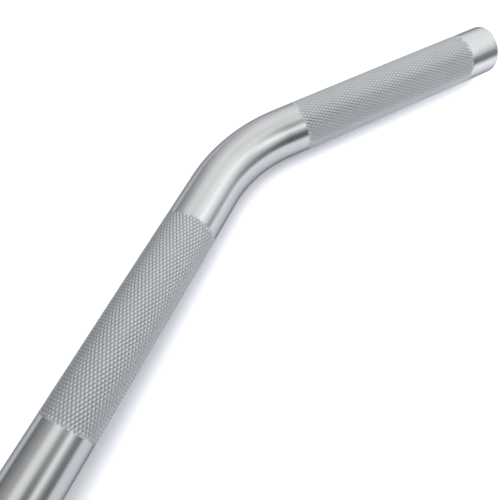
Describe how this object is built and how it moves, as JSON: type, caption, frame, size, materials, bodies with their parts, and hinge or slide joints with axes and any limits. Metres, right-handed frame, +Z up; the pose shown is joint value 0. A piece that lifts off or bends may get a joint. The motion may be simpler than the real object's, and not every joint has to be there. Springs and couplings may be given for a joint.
{
  "type": "ez curl bar",
  "caption": "Bent chrome curl bar for a cable machine, with knurled grips at two angles on each side and a revolving hanger with a swivel eye in the middle.",
  "frame": {"origin": "on the surface the bar lies on, under the middle of its bounding box", "axes": "+X along the bar, +Y from the hanger towards the grip bends, +Z up"},
  "size_m": [0.7798, 0.187, 0.0381],
  "materials": {
    "chrome": "polished hard chrome plating, slightly satin",
    "bronze": "plain turned bronze",
    "nylon": "natural nylon",
    "black_steel": "black oxide, lightly oiled",
    "zinc": "bright zinc plating"
  },
  "bodies": {
    "bar": {"curl_bar": "chrome", "stop_collar_left": "chrome", "stop_collar_right": "chrome", "collar_screws_left": "black_steel", "collar_screws_right": "black_steel", "thrust_washer_left": "nylon", "thrust_washer_right": "nylon"},
    "hanger": {"pivot_sleeve": "chrome", "sleeve_bushing_left": "bronze", "sleeve_bushing_right": "bronze", "hanger_yoke": "chrome", "yoke_welds": "chrome", "swivel_bushing": "bronze"},
    "eye": {"swivel_eye": "chrome", "swivel_washer": "zinc", "swivel_nut": "zinc"}
  },
  "joints": [
    {"name": "hanger_revolve", "type": "hinge", "parent": "bar", "child": "hanger", "pos_m": [0, 0.00957, 0.01905], "axis": [-1, 0, 0], "continuous": true},
    {"name": "eye_swivel", "type": "hinge", "parent": "hanger", "child": "eye", "pos_m": [0, 0.00957, 0.01905], "axis": [0, -0.995, -0.1003], "continuous": true}
  ]
}
